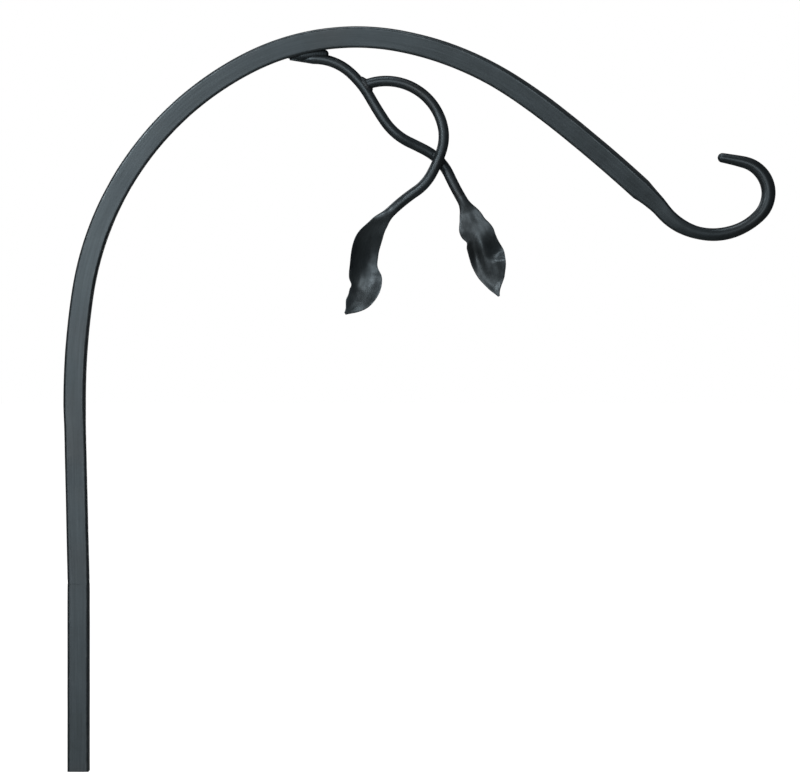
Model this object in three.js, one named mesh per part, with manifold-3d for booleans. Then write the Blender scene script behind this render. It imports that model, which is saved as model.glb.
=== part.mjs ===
// A hand-forged steel hanging crook: a square pole with a socket, a crook bar that stands in it on a pin,
// and a forked vine with two leaves welded under the arc. Millimetres and degrees, +Z up, the crook in the XZ
// plane. The origin is the centre of the pole's foot. The crook reaches along +X and its front faces -Y.

import * as THREE from 'three';
import { mergeVertices } from 'three/addons/utils/BufferGeometryUtils.js';
import Module from 'manifold-3d';

// ---- Square bar -------------------------------------------------------------------------------------------
const BAR = 12.7; // across the flats
const BAR_EDGE = 1.5; // radius worn on the four long edges
const POLE_LENGTH = 112.2; // foot of the pole to its socketed end

// Degrees that the crook bar's outer face turns towards the front, at distances along its centre line. The
// bar was straightened by eye, with a slight kink above its straight length and a growing twist in the arm.
const TWISTS = [
  { at: 0, turn: 1.5 },
  { at: 92, turn: 2.5 },
  { at: 108, turn: -0.5 },
  { at: 190, turn: 1 },
  { at: 250, turn: 3.2 },
  { at: 330, turn: 4.8 },
  { at: 430, turn: 6.5 },
  { at: 490, turn: 9 },
  { at: 550, turn: 12 },
];

// ---- Pin joint between pole and crook ---------------------------------------------------------------------
const CLEARANCE = 0.3; // between any two faces that touch
const PIN_DIAMETER = 8;
const PIN_IN_POLE = 40; // length of the pin that stands in the pole
const PIN_IN_CROOK = 30; // length of the pin that is fixed in the crook bar
const PIN_POINT = 1.2; // chamfer on both ends of the pin
const SOCKET_SPARE = 2; // room left under the pin

// ---- Crook centre line: straight up, over the arc and down the arm ----------------------------------------
const CROOK_LEAN = 91.3; // heading of the bar as it leaves the joint, counter-clockwise from +X
const STRAIGHT_LENGTH = 100;
const HEEL = { radius: 430, turn: -10 };
const SPRING = { radius: 186, turn: -54.5 };
const CROWN = { radius: 142, turn: -37.5 };
const HAUNCH = { radius: 188, turn: -22.5 };
const EASE = { radius: 360, turn: -5 };
const ARM = { radius: 900, turn: -5 };

// ---- Hook, drawn round from the end of the arm ------------------------------------------------------------
const HOOK_DIP = { radius: 45, turn: -8 };
const HOOK_BOTTOM = { radius: 39, turn: 96.5 };
const HOOK_EYE = { radius: 19, turn: 121 };
const HOOK_LIP = { radius: 170, turn: 5.5 };
const SHOULDER_BEFORE_HOOK = 11.5; // square section ends this far before the hook begins
const NECK_TAPER = 17; // length over which the square becomes round
const NECK_RINGS = [0.12, 0.25, 0.4, 0.6, 0.8]; // shares of that length at which the section is drawn
const NECK_BULGE_ABOVE = 1.6; // how quickly the upper side of the square becomes round; 1 is evenly
const NECK_BULGE_BELOW = 2.6; // the underside steps in sooner
const HOOK_DIAMETERS = [10.7, 9.6, 7.9, 7.8, 7.4, 8.3, 8.5, 7.1, 5.6]; // evenly spaced from the neck to the tip
const TIP_RINGS = [0.5, 0.87]; // shares of the tip's radius at which its rounding is drawn

// ---- Vine of round rod ------------------------------------------------------------------------------------
const ROD = 6.4;
const VINE_AT = 375.5; // distance along the crook's centre line, from the joint, to the tip of the scarf
const SCARF_LENGTH = 14; // drawn-out point of the stem, welded under the arc
const SCARF_TIP = 0.8; // diameter of that point
const SCARF_RINGS = [0, 5, 10]; // distances at which the point is drawn, before its full diameter
const SCARF_DROP = 14.7; // angle between the stem and the arc at the scarf
const STEM = [
  { length: 13.7, turn: -1 },
  { length: 25, turn: -44 },
  { length: 19, turn: -18 },
  { length: 16, turn: 4 },
  { length: 21, turn: 32 },
  { length: 10, turn: -3 },
  { length: 21, turn: -38 },
  { length: 15, turn: 5 },
];
const FORK_AT = 49; // distance along the stem to the fork
const FORK_ANGLE = 68; // angle between stem and branch
const BRANCH = [
  { length: 57, turn: -94 },
  { length: 14, turn: -29 },
  { length: 16, turn: -12 },
  { length: 14, turn: -27 },
  { length: 17, turn: 9 },
];
const CROSS_GUESS = { stem: 0.8, branch: 0.65 }; // shares of their lengths near which the rods cross
const CROSS_REACH = 34; // distance over which each rod bends out of the plane of the crook
const WELD_THROAT = 0.9; // weld metal between the two rods at the crossing

// ---- Leaves -----------------------------------------------------------------------------------------------
const LEAF_THICKNESS = 1.6;
const LEAF_SPREAD = 12; // length over which the round neck is beaten out into the blade
const LEAF_EDGE_SHARE = 0.35; // thickness of the blade's edge as a share of its middle
const MIDRIB_SHARPNESS = 8; // how narrow the midrib is; a higher value is narrower
// Each list runs evenly from neck to tip: half widths to the left and right of the rib, degrees of roll of
// the blade about its rib, hollow of the blade, height of the midrib and depth of the rib behind its neck.
const RIGHT_LEAF = {
  rib: [
    { length: 18, turn: -8 },
    { length: 22, turn: -4 },
    { length: 13, turn: -2 },
    { length: 11, turn: 14 },
  ],
  left: [3.2, 6, 9.2, 10.4, 11.6, 8.2, 0.6],
  right: [3.2, 6, 8.4, 9.2, 9.4, 6.6, 0.6],
  roll: [0, -8, -14, -6, 10, 16, 8],
  hollow: [0, 1, 2.4, 3.6, 4, 2.4, 0],
  ridge: [0, 0.4, 0.8, 1.6, 2, 1.2, 0],
  depth: [0, -0.6, -1.5, -1.2, 0.6, 1.6, 1],
};
const LEFT_LEAF = {
  rib: [
    { length: 12, turn: 4 },
    { length: 26, turn: 46 },
    { length: 8, turn: 0 },
    { length: 27, turn: -62 },
  ],
  left: [3.2, 5.6, 9.2, 9.8, 10, 7.6, 0.6],
  right: [3.2, 5.6, 9.4, 9.8, 9.8, 7.4, 0.6],
  roll: [0, -20, -30, -24, 4, 22, 12],
  hollow: [0, 1.2, 2.6, 3.6, 4.2, 2.6, 0],
  ridge: [0, 0, 0.4, 0.6, 0.6, 0.4, 0],
  depth: [0, 1.2, 3.4, 4.6, 4, 1.6, -1.2],
};

// ---- Welds ------------------------------------------------------------------------------------------------
// Each bead is an egg with these sizes along, across and out of the stem. Its middle lies this far along the
// bead and this many rod diameters to the stem's left.
const ARC_WELD = { length: 21, height: 7.4, width: 10.4, along: 0.55, left: 0.5 };
const FORK_WELD = { length: 12, height: 9.6, width: 8, left: 0.45 };
const CROSS_WELD = { length: 9, height: 9, width: 5.6 };
const CUTTER_SPARE = 5; // how much further than a bead the shapes reach that are cut out of it

// ---- Fineness of the faceted solids -----------------------------------------------------------------------
const RING_POINTS = 24;
const TURN_STEP = 6; // degrees of bend between two rings
const LENGTH_STEP = 12; // longest distance between two rings
const SPHERE_SIDES = 20;
const CUTTER_RINGS = 9;
const SEARCH_STEP = 8; // first and last step of the search for the crossing
const SEARCH_END = 0.005;

const AXIS_Y = new THREE.Vector3(0, 1, 0);

const radians = THREE.MathUtils.degToRad;

// Value of evenly spaced knots at a fraction from 0 to 1, joined by a smooth curve.
function smoothList(knots, fraction) {
  const place = THREE.MathUtils.clamp(fraction, 0, 1) * (knots.length - 1);
  const index = Math.min(Math.floor(place), knots.length - 2);
  const at = (i) => knots[THREE.MathUtils.clamp(i, 0, knots.length - 1)];
  const t = place - index;
  const slopeIn = (at(index + 1) - at(index - 1)) / 2;
  const slopeOut = (at(index + 2) - at(index)) / 2;
  const rise = at(index + 1) - at(index);
  return at(index) + t * slopeIn + t * t * (3 * rise - 2 * slopeIn - slopeOut)
    + t * t * t * (slopeIn + slopeOut - 2 * rise);
}

// A stretch given by radius and turn has the length of its arc.
function stretchLength(stretch) {
  return stretch.length ?? Math.abs(radians(stretch.turn)) * stretch.radius;
}

function totalLength(stretches) {
  return stretches.reduce((sum, stretch) => sum + stretchLength(stretch), 0);
}

// A centre line of arcs and straights that run smoothly into one another, with a depth out of the XZ plane.
class CentreLine {
  constructor(x, z, heading, stretches, depth = () => 0) {
    this.start = { x, z, heading };
    this.stretches = stretches;
    this.length = totalLength(stretches);
    this.depth = depth;
  }

  // Place and heading in the XZ plane at a distance from the start.
  planar(distance) {
    let { x, z, heading } = this.start;
    let left = distance;
    for (const [index, stretch] of this.stretches.entries()) {
      const whole = stretchLength(stretch);
      const last = index === this.stretches.length - 1;
      const run = last ? left : Math.min(left, whole);
      const turn = (stretch.turn * run) / whole;
      const middle = radians(heading + turn / 2);
      const half = radians(turn / 2);
      const chord = Math.abs(half) < 1e-9 ? run : (run * Math.sin(half)) / half;
      x += chord * Math.cos(middle);
      z += chord * Math.sin(middle);
      heading += turn;
      left -= run;
      if (left <= 1e-9) break;
    }
    return { x, z, heading };
  }

  point(distance) {
    const { x, z } = this.planar(distance);
    return new THREE.Vector3(x, this.depth(distance), z);
  }

  // Position with the direction of travel, the side to its left and the side to the front.
  frame(distance) {
    const reach = 0.05;
    const along = this.point(distance + reach).sub(this.point(distance - reach)).normalize();
    const left = new THREE.Vector3().crossVectors(along, AXIS_Y).normalize();
    const front = new THREE.Vector3().crossVectors(along, left).normalize();
    return { origin: this.point(distance), along, left, front };
  }

  // Distances of the rings: close together where the line bends, wide apart where it is straight.
  stations(from, to) {
    const marks = [from];
    let begin = 0;
    for (const stretch of this.stretches) {
      const whole = stretchLength(stretch);
      const low = Math.max(begin, from);
      const high = Math.min(begin + whole, to);
      const turn = (Math.abs(stretch.turn) * (high - low)) / whole;
      const count = Math.max(Math.ceil(turn / TURN_STEP), Math.ceil((high - low) / LENGTH_STEP), 1);
      for (let i = 1; high > low && i <= count; i += 1) marks.push(low + ((high - low) * i) / count);
      begin += whole;
    }
    return marks;
  }
}

// A ring of points placed in a frame; u runs to the left of travel and v to the front.
function placeRing(frame, outline) {
  return outline.map(([u, v]) => frame.origin.clone()
    .addScaledVector(frame.left, u)
    .addScaledVector(frame.front, v));
}

// Rounded rectangle from -down to +up and -half to +half, turned about its middle.
function barOutline(up, down, half, edge, turn = 0) {
  const corners = [[up, half, 0], [-down, half, 90], [-down, -half, 180], [up, -half, 270]];
  const perCorner = RING_POINTS / 4;
  const outline = [];
  for (const [u, v, from] of corners) {
    for (let i = 0; i < perCorner; i += 1) {
      const angle = radians(from + (90 * i) / (perCorner - 1));
      const pu = u - Math.sign(u) * edge + edge * Math.cos(angle);
      const pv = v - Math.sign(v) * edge + edge * Math.sin(angle);
      const c = Math.cos(radians(turn));
      const s = Math.sin(radians(turn));
      outline.push([pu * c - pv * s, pu * s + pv * c]);
    }
  }
  return outline;
}

// Distance from the middle of the bar to its underside when the section is turned.
function barReach(turn) {
  const flat = BAR / 2 - BAR_EDGE;
  return flat * (Math.cos(radians(turn)) + Math.abs(Math.sin(radians(turn)))) + BAR_EDGE;
}

// A circle as the rounded rectangle whose edge radius is its half width, so that both rings pair up.
function roundOutline(diameter) {
  const radius = diameter / 2;
  return Array.from({ length: RING_POINTS }, (_, i) => {
    const perCorner = RING_POINTS / 4;
    const step = 90 / perCorner;
    const angle = radians(90 * Math.floor(i / perCorner) + (i % perCorner) * step + step / 2);
    return [radius * Math.cos(angle), radius * Math.sin(angle)];
  });
}

function blendOutline(from, to, share) {
  return from.map(([u, v], i) => [u + (to[i][0] - u) * share, v + (to[i][1] - v) * share]);
}

// Closed skin over a row of rings, with a flat cap on the first and the last.
function loft(rings) {
  const positions = [];
  const indices = [];
  const count = rings[0].length;
  for (const ring of rings) for (const p of ring) positions.push(p.x, p.y, p.z);
  for (let r = 0; r + 1 < rings.length; r += 1) {
    for (let j = 0; j < count; j += 1) {
      const a = r * count + j;
      const b = r * count + ((j + 1) % count);
      indices.push(a, b, a + count, b, b + count, a + count);
    }
  }
  for (const [ring, first, outward] of [[rings[0], 0, -1], [rings.at(-1), (rings.length - 1) * count, 1]]) {
    const middle = ring.reduce((sum, p) => sum.add(p), new THREE.Vector3()).divideScalar(count);
    const hub = positions.length / 3;
    positions.push(middle.x, middle.y, middle.z);
    for (let j = 0; j < count; j += 1) {
      const a = first + j;
      const b = first + ((j + 1) % count);
      indices.push(hub, ...(outward > 0 ? [a, b] : [b, a]));
    }
  }
  const geometry = new THREE.BufferGeometry();
  geometry.setAttribute('position', new THREE.Float32BufferAttribute(positions, 3));
  geometry.setIndex(indices);
  geometry.computeVertexNormals();
  return geometry;
}

// Upright ring at a height, for the pole, the pin and the socket.
function uprightRing(height, outline) {
  const frame = {
    origin: new THREE.Vector3(0, 0, height),
    left: new THREE.Vector3(-1, 0, 0),
    front: new THREE.Vector3(0, -1, 0),
  };
  return placeRing(frame, outline);
}

// ---- The pieces -------------------------------------------------------------------------------------------

const JOINT_HEIGHT = POLE_LENGTH + CLEARANCE; // underside of the crook bar
const BORE_DIAMETER = PIN_DIAMETER + 2 * CLEARANCE;
const HOOK = [HOOK_DIP, HOOK_BOTTOM, HOOK_EYE, HOOK_LIP];
const BAR_STRETCHES = [{ length: STRAIGHT_LENGTH, turn: 0 }, HEEL, SPRING, CROWN, HAUNCH, EASE, ARM];

const crookLine = new CentreLine(0, JOINT_HEIGHT, CROOK_LEAN, [...BAR_STRETCHES, ...HOOK]);
const hookStart = totalLength(BAR_STRETCHES);
const shoulderAt = hookStart - SHOULDER_BEFORE_HOOK;

function twistAt(distance) {
  const next = TWISTS.findIndex((mark) => mark.at > distance);
  if (next < 0) return TWISTS.at(-1).turn;
  if (next === 0) return TWISTS[0].turn;
  const [before, after] = [TWISTS[next - 1], TWISTS[next]];
  return before.turn + (after.turn - before.turn) * THREE.MathUtils.smoothstep(distance, before.at, after.at);
}

function poleBar() {
  const square = barOutline(BAR / 2, BAR / 2, BAR / 2, BAR_EDGE);
  const bore = roundOutline(BORE_DIAMETER);
  return loft([
    uprightRing(0, square),
    uprightRing(POLE_LENGTH, square),
    uprightRing(POLE_LENGTH, bore),
    uprightRing(POLE_LENGTH - PIN_IN_POLE - SOCKET_SPARE, bore),
  ]);
}

function jointPin() {
  const body = roundOutline(PIN_DIAMETER);
  const point = roundOutline(PIN_DIAMETER - 2 * PIN_POINT);
  const bottom = JOINT_HEIGHT - PIN_IN_POLE;
  const top = JOINT_HEIGHT + PIN_IN_CROOK;
  return loft([
    uprightRing(bottom, point),
    uprightRing(bottom + PIN_POINT, body),
    uprightRing(top - PIN_POINT, body),
    uprightRing(top, point),
  ]);
}

// Outline of the crook bar at a distance: square to the shoulder, then round and tapering to the tip.
function crookOutline(distance) {
  const square = barOutline(BAR / 2, BAR / 2, BAR / 2, BAR_EDGE, twistAt(distance));
  if (distance <= shoulderAt) return square;
  const hookShare = (distance - hookStart) / (crookLine.length - hookStart);
  const round = roundOutline(smoothList(HOOK_DIAMETERS, hookShare));
  const share = THREE.MathUtils.clamp((distance - shoulderAt) / NECK_TAPER, 0, 1);
  const above = blendOutline(square, round, 1 - (1 - share) ** NECK_BULGE_ABOVE);
  const below = blendOutline(square, round, 1 - (1 - share) ** NECK_BULGE_BELOW);
  return above.map((point, i) => (point[0] > 0 ? point : below[i]));
}

function crookBar() {
  const bore = roundOutline(BORE_DIAMETER);
  const rings = [
    uprightRing(JOINT_HEIGHT + PIN_IN_CROOK + CLEARANCE, bore),
    uprightRing(JOINT_HEIGHT, bore),
    uprightRing(JOINT_HEIGHT, crookOutline(0)),
  ];
  const tipRadius = HOOK_DIAMETERS.at(-1) / 2;
  const squareEnd = crookLine.length - tipRadius;
  const neck = NECK_RINGS.map((share) => shoulderAt + share * NECK_TAPER);
  const marks = [...crookLine.stations(LENGTH_STEP, shoulderAt), ...neck,
    ...crookLine.stations(shoulderAt + NECK_TAPER, squareEnd)];
  for (const mark of marks) rings.push(placeRing(crookLine.frame(mark), crookOutline(mark)));
  for (const share of TIP_RINGS) {
    const width = Math.sqrt(1 - share * share);
    const outline = crookOutline(squareEnd).map(([u, v]) => [u * width, v * width]);
    rings.push(placeRing(crookLine.frame(squareEnd + share * tipRadius), outline));
  }
  return loft(rings);
}

// The same line, bent out of its plane by a depth at its crossing and over a reach on both sides of it.
function bentLine(line, crossing, depth) {
  const { x, z, heading } = line.start;
  return new CentreLine(x, z, heading, line.stretches, (distance) => {
    const share = THREE.MathUtils.clamp(1 - Math.abs(distance - crossing) / CROSS_REACH, 0, 1);
    return depth * THREE.MathUtils.smoothstep(share, 0, 1);
  });
}

// Distances along two flat lines to where they cross, found by halving a search step.
function crossingOf(lineA, lineB, guessA, guessB) {
  const best = { a: guessA, b: guessB };
  const apart = (a, b) => lineA.point(a).distanceTo(lineB.point(b));
  for (let step = SEARCH_STEP; step > SEARCH_END; step /= 2) {
    for (let moved = true; moved;) {
      moved = false;
      for (const [da, db] of [[step, 0], [-step, 0], [0, step], [0, -step]]) {
        if (apart(best.a + da, best.b + db) < apart(best.a, best.b)) {
          best.a += da;
          best.b += db;
          moved = true;
        }
      }
    }
  }
  return best;
}

const anchor = crookLine.frame(VINE_AT);
const stemDrop = barReach(twistAt(VINE_AT)) + CLEARANCE + SCARF_TIP / 2;
const stemStart = anchor.origin.clone().addScaledVector(anchor.left, -stemDrop);
const stemHeading = crookLine.planar(VINE_AT).heading - SCARF_DROP;
const flatStem = new CentreLine(stemStart.x, stemStart.z, stemHeading, STEM);

// The branch starts clear of the stem's side.
const forkStandOff = ROD / 2 + CLEARANCE + (ROD / 2) * Math.cos(radians(FORK_ANGLE));
const forkReach = forkStandOff / Math.sin(radians(FORK_ANGLE));
const forkPlace = flatStem.planar(FORK_AT);
const branchHeading = forkPlace.heading + FORK_ANGLE;
const flatBranch = new CentreLine(
  forkPlace.x + forkReach * Math.cos(radians(branchHeading)),
  forkPlace.z + forkReach * Math.sin(radians(branchHeading)),
  branchHeading,
  BRANCH,
);

// The branch crosses in front of the stem, and weld metal fills the throat between them.
const crossing = crossingOf(flatStem, flatBranch, flatStem.length * CROSS_GUESS.stem,
  flatBranch.length * CROSS_GUESS.branch);
const crossDepth = (ROD + WELD_THROAT) / 2;
const stemLine = bentLine(flatStem, crossing.a, crossDepth);
const branchLine = bentLine(flatBranch, crossing.b, -crossDepth);

// The stem's diameter at a distance, drawn out to a point at its start.
function stemDiameter(distance) {
  return SCARF_TIP + (ROD - SCARF_TIP) * THREE.MathUtils.clamp(distance / SCARF_LENGTH, 0, 1);
}

function vineStem() {
  const marks = [...SCARF_RINGS, ...stemLine.stations(SCARF_LENGTH, stemLine.length)];
  return loft(marks.map((mark) => placeRing(stemLine.frame(mark), roundOutline(stemDiameter(mark)))));
}

function vineBranch() {
  const marks = branchLine.stations(0, branchLine.length);
  return loft(marks.map((mark) => placeRing(branchLine.frame(mark), roundOutline(ROD))));
}

// Hollowed blade with a midrib, rolled about its rib; a spread of 0 is the round neck and 1 the full blade.
function leafOutline(leaf, share, spread) {
  const left = smoothList(leaf.left, share);
  const right = smoothList(leaf.right, share);
  const hollow = smoothList(leaf.hollow, share);
  const ridge = smoothList(leaf.ridge, share);
  const roll = radians(smoothList(leaf.roll, share));
  const blade = Array.from({ length: RING_POINTS }, (_, i) => {
    const angle = radians((360 * (i + 0.5)) / RING_POINTS);
    const across = Math.cos(angle);
    const face = Math.sign(Math.sin(angle))
      * (LEAF_EDGE_SHARE + (1 - LEAF_EDGE_SHARE) * Math.abs(Math.sin(angle)));
    const u = across * (across > 0 ? left : right);
    const v = (face * LEAF_THICKNESS) / 2 - hollow * (1 - across ** 2)
      + ridge * Math.exp(-MIDRIB_SHARPNESS * across ** 2);
    return [u * Math.cos(roll) - v * Math.sin(roll), u * Math.sin(roll) + v * Math.cos(roll)];
  });
  return blendOutline(roundOutline(ROD), blade, spread);
}

// The rib carries on the rod's own line and depth, so that the leaf's neck faces the rod's end squarely.
function leafBlade(line, leaf) {
  const neckAt = line.length + CLEARANCE;
  const neck = line.planar(neckAt);
  const ribLength = totalLength(leaf.rib);
  const rib = new CentreLine(neck.x, neck.z, neck.heading, leaf.rib,
    (distance) => line.depth(neckAt + distance) + smoothList(leaf.depth, distance / ribLength));
  return loft(rib.stations(0, ribLength).map((mark) => {
    const spread = THREE.MathUtils.smoothstep(mark, 0, LEAF_SPREAD);
    return placeRing(rib.frame(mark), leafOutline(leaf, mark / ribLength, spread));
  }));
}

// ---- Welds, cut so that they clear the rods and the bar ---------------------------------------------------

const wasm = await Module();
wasm.setup();

function toSolid(geometry) {
  const bare = geometry.clone();
  bare.deleteAttribute('normal');
  if (bare.getAttribute('uv')) bare.deleteAttribute('uv');
  const merged = mergeVertices(bare, 1e-5);
  const mesh = new wasm.Mesh({
    numProp: 3,
    vertProperties: new Float32Array(merged.getAttribute('position').array),
    triVerts: new Uint32Array(merged.getIndex().array),
  });
  return new wasm.Manifold(mesh);
}

function toGeometry(solid) {
  const mesh = solid.getMesh();
  const geometry = new THREE.BufferGeometry();
  geometry.setAttribute('position', new THREE.BufferAttribute(mesh.vertProperties, 3));
  geometry.setIndex(new THREE.BufferAttribute(mesh.triVerts, 1));
  geometry.computeVertexNormals();
  return geometry;
}

// An egg of weld metal in a frame, with the grown rods and bar taken out of it.
function weldBead(size, frame, cutters) {
  const egg = new THREE.SphereGeometry(0.5, SPHERE_SIDES, SPHERE_SIDES / 2);
  egg.scale(size.length, size.height, size.width);
  const basis = new THREE.Matrix4().makeBasis(frame.along, frame.left, frame.front);
  basis.setPosition(frame.origin);
  egg.applyMatrix4(basis);
  let bead = toSolid(egg);
  for (const cutter of cutters) bead = bead.subtract(toSolid(cutter));
  return toGeometry(bead);
}

function evenMarks(from, to) {
  return Array.from({ length: CUTTER_RINGS }, (_, i) => from + ((to - from) * i) / (CUTTER_RINGS - 1));
}

// A rod, or the bar, with the clearance added all round, over the stretch that a weld covers.
function grownRod(line, from, to, diameterAt = () => ROD) {
  return loft(evenMarks(from, to).map((mark) => placeRing(line.frame(mark),
    roundOutline(diameterAt(mark) + 2 * CLEARANCE))));
}

function grownBar(from, to) {
  const half = BAR / 2 + CLEARANCE;
  return loft(evenMarks(from, to).map((mark) => placeRing(crookLine.frame(mark),
    barOutline(half, half, half, BAR_EDGE + CLEARANCE, twistAt(mark)))));
}

function arcWeld() {
  const frame = stemLine.frame(ARC_WELD.length * ARC_WELD.along);
  frame.origin.addScaledVector(frame.left, ROD * ARC_WELD.left);
  return weldBead(ARC_WELD, frame, [
    grownBar(VINE_AT - CUTTER_SPARE, VINE_AT + ARC_WELD.length + CUTTER_SPARE),
    grownRod(stemLine, -CUTTER_SPARE, ARC_WELD.length + CUTTER_SPARE, stemDiameter),
  ]);
}

function forkWeld() {
  const reach = FORK_WELD.length / 2 + CUTTER_SPARE;
  const frame = stemLine.frame(FORK_AT);
  frame.origin.addScaledVector(frame.left, ROD * FORK_WELD.left);
  return weldBead(FORK_WELD, frame, [
    grownRod(stemLine, FORK_AT - reach, FORK_AT + reach),
    grownRod(branchLine, -CLEARANCE, reach),
  ]);
}

function crossingWeld() {
  const reach = CROSS_WELD.length / 2 + CUTTER_SPARE;
  const frame = stemLine.frame(crossing.a);
  frame.origin.setY(0);
  return weldBead(CROSS_WELD, frame, [
    grownRod(stemLine, crossing.a - reach, crossing.a + reach),
    grownRod(branchLine, crossing.b - reach, crossing.b + reach),
  ]);
}

// ---- The assembly -----------------------------------------------------------------------------------------

function piece(name, geometry, color, roughness) {
  const metalness = 0.35;
  const mesh = new THREE.Mesh(geometry, new THREE.MeshStandardMaterial({ color, roughness, metalness }));
  mesh.name = name;
  return mesh;
}

const FINISH = 0x4b5358;
const BRIGHT_STEEL = 0x8d9296;

const pole = new THREE.Group();
pole.add(piece('pole_bar', poleBar(), FINISH, 0.5));

const crook = new THREE.Group();
crook.add(
  piece('crook_bar', crookBar(), FINISH, 0.5),
  piece('joint_pin', jointPin(), BRIGHT_STEEL, 0.35),
  piece('vine_stem', vineStem(), FINISH, 0.5),
  piece('vine_branch', vineBranch(), FINISH, 0.5),
  piece('leaf_right', leafBlade(stemLine, RIGHT_LEAF), FINISH, 0.45),
  piece('leaf_left', leafBlade(branchLine, LEFT_LEAF), FINISH, 0.45),
  piece('arc_weld', arcWeld(), FINISH, 0.55),
  piece('fork_weld', forkWeld(), FINISH, 0.55),
  piece('crossing_weld', crossingWeld(), FINISH, 0.55),
);

const assembly = new THREE.Group();
assembly.add(pole, crook);

export default assembly;
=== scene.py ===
"""Looks of a hand-forged steel hanging crook with a forked vine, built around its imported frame.

The square bar, its hook, the vine and the leaves follow the same chains of arcs as the solids of the frame.
Lengths are in millimetres until a mesh is made, and turns are in degrees.
"""

import logging
import math
from collections.abc import Callable, Mapping, Sequence
from dataclasses import dataclass, field
from enum import Enum

import bmesh
import bpy
import numpy as np
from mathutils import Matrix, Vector, noise


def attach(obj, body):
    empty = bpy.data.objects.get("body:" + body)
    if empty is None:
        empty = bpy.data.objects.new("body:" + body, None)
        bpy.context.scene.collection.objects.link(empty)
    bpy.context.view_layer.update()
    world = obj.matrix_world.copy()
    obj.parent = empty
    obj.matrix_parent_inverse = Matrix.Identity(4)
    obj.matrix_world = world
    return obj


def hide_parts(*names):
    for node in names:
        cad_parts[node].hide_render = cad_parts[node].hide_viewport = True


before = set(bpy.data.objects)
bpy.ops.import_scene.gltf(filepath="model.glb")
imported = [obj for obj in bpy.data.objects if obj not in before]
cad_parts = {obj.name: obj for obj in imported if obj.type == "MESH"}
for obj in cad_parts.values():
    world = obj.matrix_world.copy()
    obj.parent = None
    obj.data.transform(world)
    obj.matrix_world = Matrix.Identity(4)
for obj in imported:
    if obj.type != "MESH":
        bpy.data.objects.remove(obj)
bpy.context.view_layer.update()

LOG = logging.getLogger("crook")
MM = 0.001
MERGE_REACH = 1e-5
TINY = 1e-9
SAME_PLACE = 1e-6
SHARP_FROM = 38.0
HAMMER_FADE = 6.0
AXIS_Y = np.array([0.0, 1.0, 0.0])

NodeInput = "bpy.types.NodeSocket | float | int | bool | str | Sequence[float]"


class Body(Enum):
    """The bodies that pieces ride on."""

    POLE = "pole"
    PIN = "pin"
    CROOK = "crook"


class Slot(Enum):
    """The record's material slots."""

    BAR = "forged_bar"
    VINE = "vine_rod"
    LEAF = "leaf_blade"
    WELD = "weld_bead"
    PIN = "bright_pin"


# ---- Helpers ----


def linear(hex_colour: str) -> tuple[float, float, float, float]:
    """Turn an sRGB hex colour into a linear one.

    Args:
        hex_colour: six hex digits after a hash sign.

    Returns:
        Red, green, blue and a full alpha.
    """
    channels = [int(hex_colour[i:i + 2], 16) / 255 for i in (1, 3, 5)]
    red, green, blue = (c / 12.92 if c <= 0.04045 else ((c + 0.055) / 1.055) ** 2.4 for c in channels)
    return (red, green, blue, 1.0)


def add_node(tree: bpy.types.NodeTree, kind: str, settings: Mapping[str, object] | None = None,
             inputs: Mapping[str | int, NodeInput] | None = None) -> bpy.types.Node:
    """Add a node with its settings and its inputs.

    Args:
        tree: the tree that gets the node.
        kind: the node's type name.
        settings: properties of the node.
        inputs: a value, or a socket to link from, for each input's identifier, name or index.

    Returns:
        The new node.
    """
    node = tree.nodes.new(kind)
    for name, value in (settings or {}).items():
        setattr(node, name, value)
    for key, value in (inputs or {}).items():
        sockets = [s for s in node.inputs if key in (s.identifier, s.name) and s.enabled]
        socket = node.inputs[key] if isinstance(key, int) else sockets[0]
        if isinstance(value, bpy.types.NodeSocket):
            tree.links.new(value, socket)
        else:
            socket.default_value = value
    return node


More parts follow.
